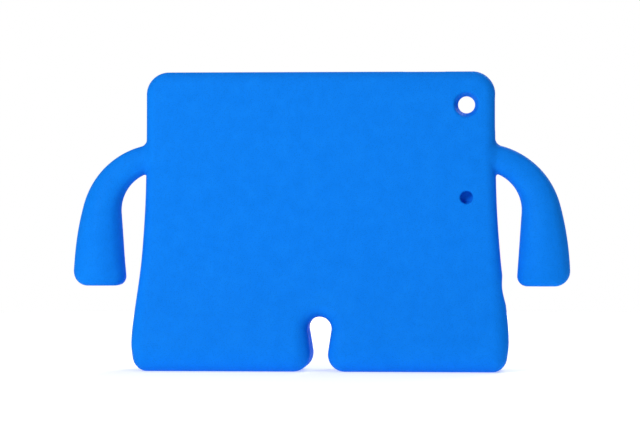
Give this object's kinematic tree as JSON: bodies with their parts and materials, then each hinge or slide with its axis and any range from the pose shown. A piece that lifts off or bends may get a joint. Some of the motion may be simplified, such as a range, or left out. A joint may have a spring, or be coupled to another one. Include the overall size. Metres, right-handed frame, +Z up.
{
  "type": "tablet case",
  "caption": "Thick foam case that stands a tablet up on two feet, shaped like a figure with two arms for handles and an open back camera hole.",
  "frame": {"origin": "middle of the bounding box's bottom face, on the surface that the two feet stand on", "axes": "+X towards the figure's left arm, +Y out of the closed back, -Y out of the screen side, +Z up"},
  "size_m": [0.3784, 0.058, 0.2265],
  "materials": {
    "foam": "matte closed-cell EVA foam, azure blue"
  },
  "bodies": {
    "case": {"back_panel": "foam", "camera_corner": "foam", "microphone_strip": "foam", "top_wall": "foam", "bottom_wall": "foam", "left_wall": "foam", "right_wall": "foam", "front_bezel": "foam", "left_leg": "foam", "right_leg": "foam"},
    "left_shoulder": {"left_shoulder": "foam"},
    "right_shoulder": {"right_shoulder": "foam"},
    "left_arm": {"left_arm": "foam"},
    "right_arm": {"right_arm": "foam"}
  },
  "joints": [
    {"name": "left_arm_swing", "type": "hinge", "parent": "case", "child": "left_shoulder", "pos_m": [0.139, 0, 0.161], "axis": [1, 0, 0], "range_deg": [-20, 20], "stiffness_Nm_per_rad": 1.4, "deforming": ["left_shoulder"]},
    {"name": "left_arm_spread", "type": "hinge", "parent": "left_shoulder", "child": "left_arm", "pos_m": [0.151, 0, 0.152], "axis": [0, -1, 0], "range_deg": [-6, 25], "stiffness_Nm_per_rad": 1.7},
    {"name": "right_arm_swing", "type": "hinge", "parent": "case", "child": "right_shoulder", "pos_m": [-0.139, 0, 0.161], "axis": [1, 0, 0], "range_deg": [-20, 20], "stiffness_Nm_per_rad": 1.4, "deforming": ["right_shoulder"]},
    {"name": "right_arm_spread", "type": "hinge", "parent": "right_shoulder", "child": "right_arm", "pos_m": [-0.151, 0, 0.152], "axis": [0, 1, 0], "range_deg": [-6, 25], "stiffness_Nm_per_rad": 1.7}
  ]
}
